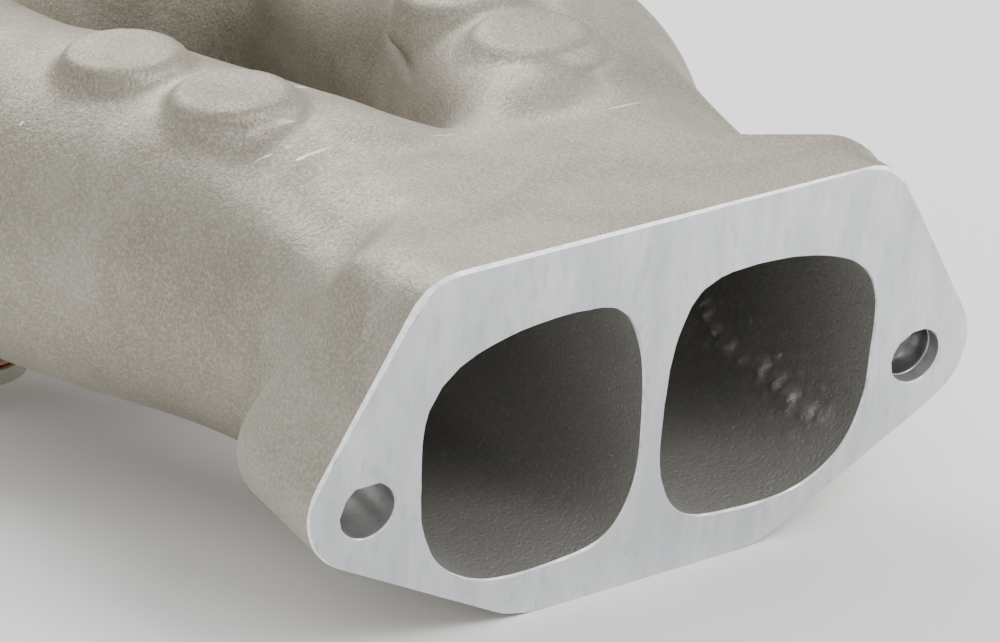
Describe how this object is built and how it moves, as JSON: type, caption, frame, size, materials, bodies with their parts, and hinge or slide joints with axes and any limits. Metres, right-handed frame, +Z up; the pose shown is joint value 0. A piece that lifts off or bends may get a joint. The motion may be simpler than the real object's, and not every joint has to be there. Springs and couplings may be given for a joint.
{
  "type": "twin-runner intake manifold",
  "caption": "Cast aluminium intake manifold: two siamesed head ports part into two round throttle bores, with studs, nuts, washers, gasket and plugged vacuum ports.",
  "frame": {"origin": "middle of the head face, on the line through both head stud holes", "axes": "+Z up with the part lying at rest on the edges of its two flanges, +Y from the head flange to the carburettor flange, X along the line through the head stud holes"},
  "size_m": [0.152, 0.2106, 0.0885],
  "materials": {
    "cast_aluminium": "sand cast skin, machined and deburred on the joint faces",
    "sleeve_steel": "turned, oiled",
    "zinc_steel": "zinc plated, clear passivated",
    "spring_steel": "phosphated",
    "gasket_fibre": "pressed fibre sheet",
    "sealing_copper": "annealed copper"
  },
  "bodies": {
    "casting": {"manifold_casting": "cast_aluminium", "stud_hole_sleeve": "sleeve_steel", "carburettor_gasket": "gasket_fibre", "carburettor_stud_1": "zinc_steel", "carburettor_stud_2": "zinc_steel", "carburettor_stud_3": "zinc_steel", "carburettor_stud_4": "zinc_steel"},
    "washers_1": {"flat_washer_1": "zinc_steel", "spring_washer_1": "spring_steel"},
    "nut_1": {"stud_nut_1": "zinc_steel"},
    "washers_2": {"flat_washer_2": "zinc_steel", "spring_washer_2": "spring_steel"},
    "nut_2": {"stud_nut_2": "zinc_steel"},
    "washers_3": {"flat_washer_3": "zinc_steel", "spring_washer_3": "spring_steel"},
    "nut_3": {"stud_nut_3": "zinc_steel"},
    "washers_4": {"flat_washer_4": "zinc_steel", "spring_washer_4": "spring_steel"},
    "nut_4": {"stud_nut_4": "zinc_steel"},
    "seal_left": {"sealing_ring_left": "sealing_copper"},
    "plug_left": {"vacuum_plug_left": "zinc_steel"},
    "seal_right": {"sealing_ring_right": "sealing_copper"},
    "plug_right": {"vacuum_plug_right": "zinc_steel"}
  },
  "joints": [
    {"name": "washers_1_slide", "type": "slide", "parent": "casting", "child": "washers_1", "axis": [0, 0.9987, 0.0504], "range_m": [0, 0.01]},
    {"name": "nut_1_turn", "type": "hinge", "parent": "washers_1", "child": "nut_1", "pos_m": [-0.046, 0.17005, 0.05224], "axis": [0, 0.9987, 0.0504], "range_deg": [0, 2880]},
    {"name": "washers_2_slide", "type": "slide", "parent": "casting", "child": "washers_2", "axis": [0, 0.9987, 0.0504], "range_m": [0, 0.01]},
    {"name": "nut_2_turn", "type": "hinge", "parent": "washers_2", "child": "nut_2", "pos_m": [-0.046, 0.17337, -0.01367], "axis": [0, 0.9987, 0.0504], "range_deg": [0, 2880]},
    {"name": "washers_3_slide", "type": "slide", "parent": "casting", "child": "washers_3", "axis": [0, 0.9987, 0.0504], "range_m": [0, 0.01]},
    {"name": "nut_3_turn", "type": "hinge", "parent": "washers_3", "child": "nut_3", "pos_m": [0.046, 0.17005, 0.05224], "axis": [0, 0.9987, 0.0504], "range_deg": [0, 2880]},
    {"name": "washers_4_slide", "type": "slide", "parent": "casting", "child": "washers_4", "axis": [0, 0.9987, 0.0504], "range_m": [0, 0.01]},
    {"name": "nut_4_turn", "type": "hinge", "parent": "washers_4", "child": "nut_4", "pos_m": [0.046, 0.17337, -0.01367], "axis": [0, 0.9987, 0.0504], "range_deg": [0, 2880]},
    {"name": "seal_left_slide", "type": "slide", "parent": "casting", "child": "seal_left", "axis": [0.0141, 0.0403, -0.9991], "range_m": [0, 0.005]},
    {"name": "plug_left_turn", "type": "hinge", "parent": "seal_left", "child": "plug_left", "pos_m": [-0.0435, 0.12946, 0.01738], "axis": [0.0141, 0.0403, -0.9991], "range_deg": [0, 1800]},
    {"name": "seal_right_slide", "type": "slide", "parent": "casting", "child": "seal_right", "axis": [-0.0141, 0.0403, -0.9991], "range_m": [0, 0.005]},
    {"name": "plug_right_turn", "type": "hinge", "parent": "seal_right", "child": "plug_right", "pos_m": [0.0435, 0.12946, 0.01738], "axis": [-0.0141, 0.0403, -0.9991], "range_deg": [0, 1800]}
  ],
  "couplings": [
    {"joint": "washers_1_slide", "follows": "nut_1_turn", "m_per_rad": 0.00019894},
    {"joint": "washers_2_slide", "follows": "nut_2_turn", "m_per_rad": 0.00019894},
    {"joint": "washers_3_slide", "follows": "nut_3_turn", "m_per_rad": 0.00019894},
    {"joint": "washers_4_slide", "follows": "nut_4_turn", "m_per_rad": 0.00019894},
    {"joint": "seal_left_slide", "follows": "plug_left_turn", "m_per_rad": 0.00015915},
    {"joint": "seal_right_slide", "follows": "plug_right_turn", "m_per_rad": 0.00015915}
  ]
}
